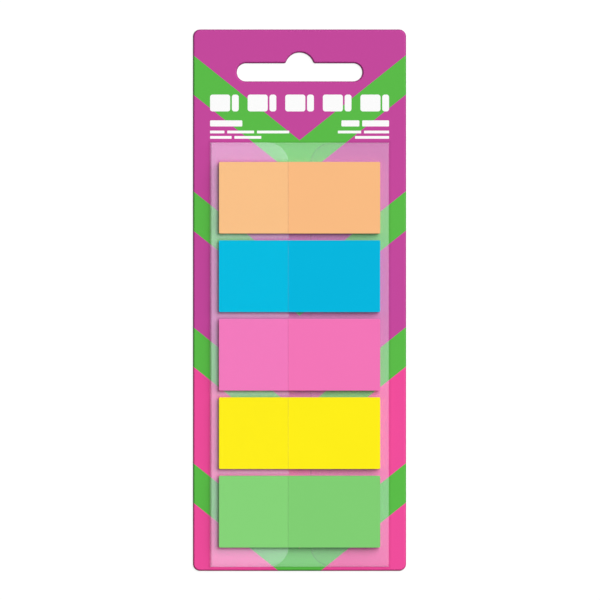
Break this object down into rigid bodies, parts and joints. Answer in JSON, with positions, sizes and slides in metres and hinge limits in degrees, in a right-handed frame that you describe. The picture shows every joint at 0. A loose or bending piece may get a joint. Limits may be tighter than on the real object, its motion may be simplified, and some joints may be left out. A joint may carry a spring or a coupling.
{
  "type": "carded set of sticky index tabs",
  "caption": "Carded set of neon film index tabs: pads of tabs in rows inside a folded clear film wallet, on a printed backing card with a hang slot.",
  "frame": {"origin": "centre of the backing card's back face, which the set lies on", "axes": "+X across the card to the right, +Y up the card towards the hang slot, +Z out of the printed face"},
  "size_m": [0.0596, 0.1514, 0.0024],
  "materials": {
    "printed_card": "smooth white board, printed on its front in magenta, pink and green under a thin varnish",
    "wallet_film": "clear film with a slight milky haze, satin",
    "orange_film": "neon orange tab film, satin",
    "blue_film": "neon blue tab film, satin",
    "pink_film": "neon pink tab film, satin",
    "yellow_film": "neon yellow tab film, satin",
    "green_film": "neon green tab film, satin"
  },
  "bodies": {
    "root": {"backing_card": "printed_card", "film_wallet": "wallet_film", "tab_pad_orange": "orange_film", "tab_pad_blue": "blue_film", "tab_pad_pink": "pink_film", "tab_pad_yellow": "yellow_film", "tab_pad_green": "green_film"}
  },
  "joints": []
}
